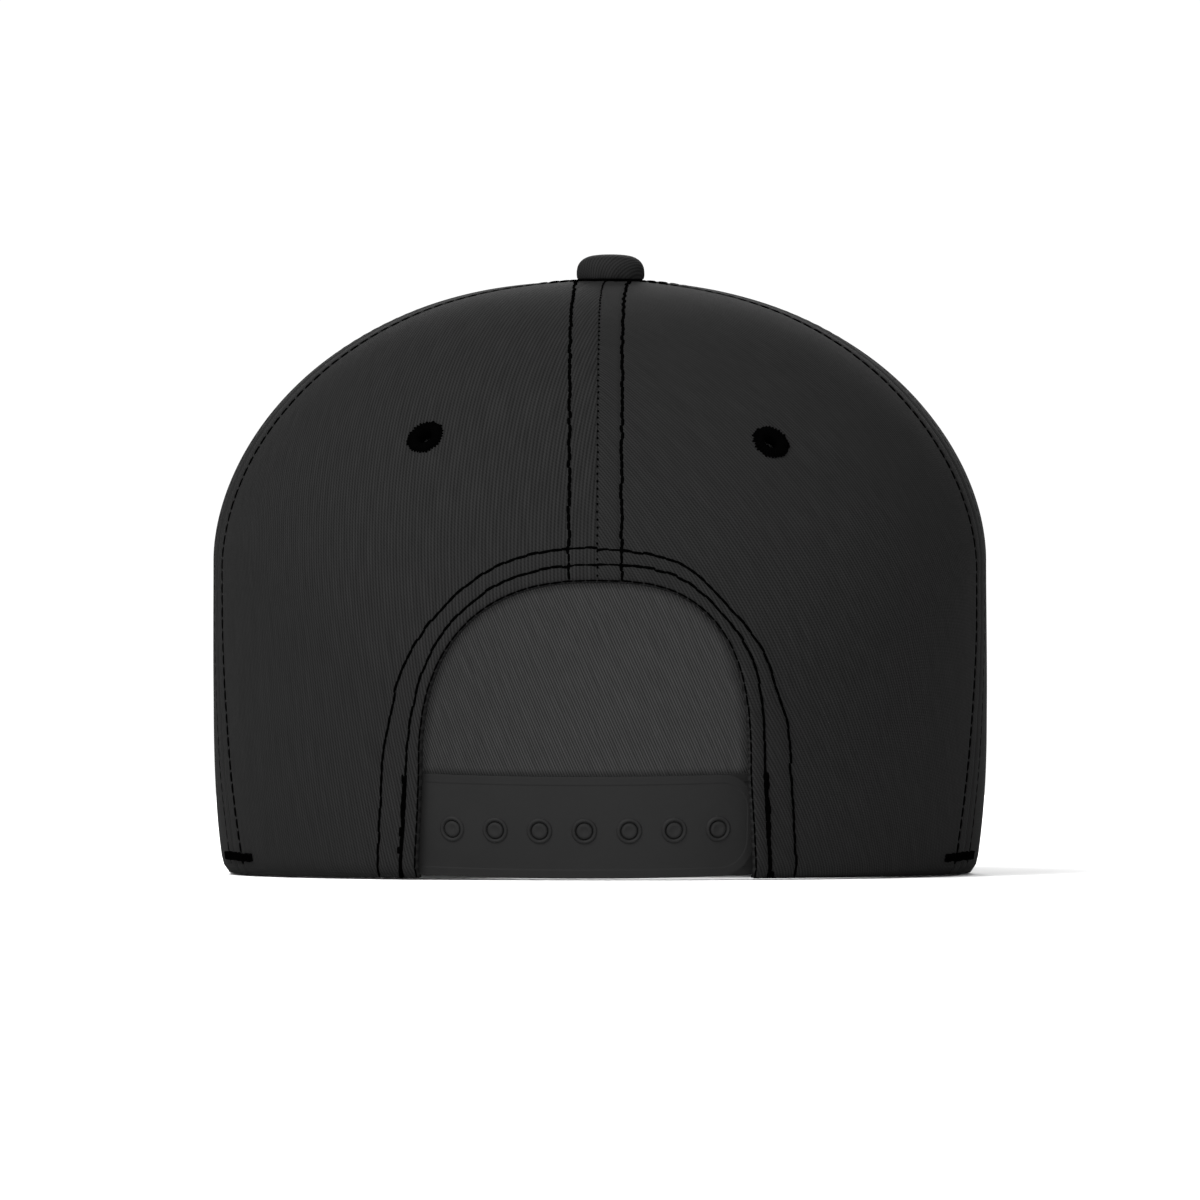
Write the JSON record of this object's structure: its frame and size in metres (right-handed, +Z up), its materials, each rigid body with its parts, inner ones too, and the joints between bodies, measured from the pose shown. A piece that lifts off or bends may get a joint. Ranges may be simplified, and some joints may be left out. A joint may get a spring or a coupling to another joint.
{
  "type": "flat bill cap",
  "caption": "Cloth cap with a round high crown, a flat stiff bill, an arched opening at the back and a plastic snap strap across it.",
  "frame": {"origin": "middle of the footprint of crown and bill together, on the plane that the rim and the bill rest on", "axes": "+Y towards the front edge of the bill, +Z up through the button, +X towards the wearer's right"},
  "size_m": [0.1756, 0.2546, 0.1403],
  "materials": {
    "twill": "matt twill weave",
    "band": "matt woven tape",
    "strap": "satin, moulded",
    "thread": "sewn thread"
  },
  "bodies": {
    "root": {"front_panel": "twill", "side_panel_left": "twill", "side_panel_right": "twill", "back_panel_left": "twill", "back_panel_right": "twill", "button": "twill", "bill": "twill", "sweatband": "band", "strap_with_holes": "strap", "strap_with_studs": "strap", "eyelet_back_left": "thread", "eyelet_back_right": "thread", "eyelet_side_left": "thread", "eyelet_side_right": "thread"}
  },
  "joints": []
}
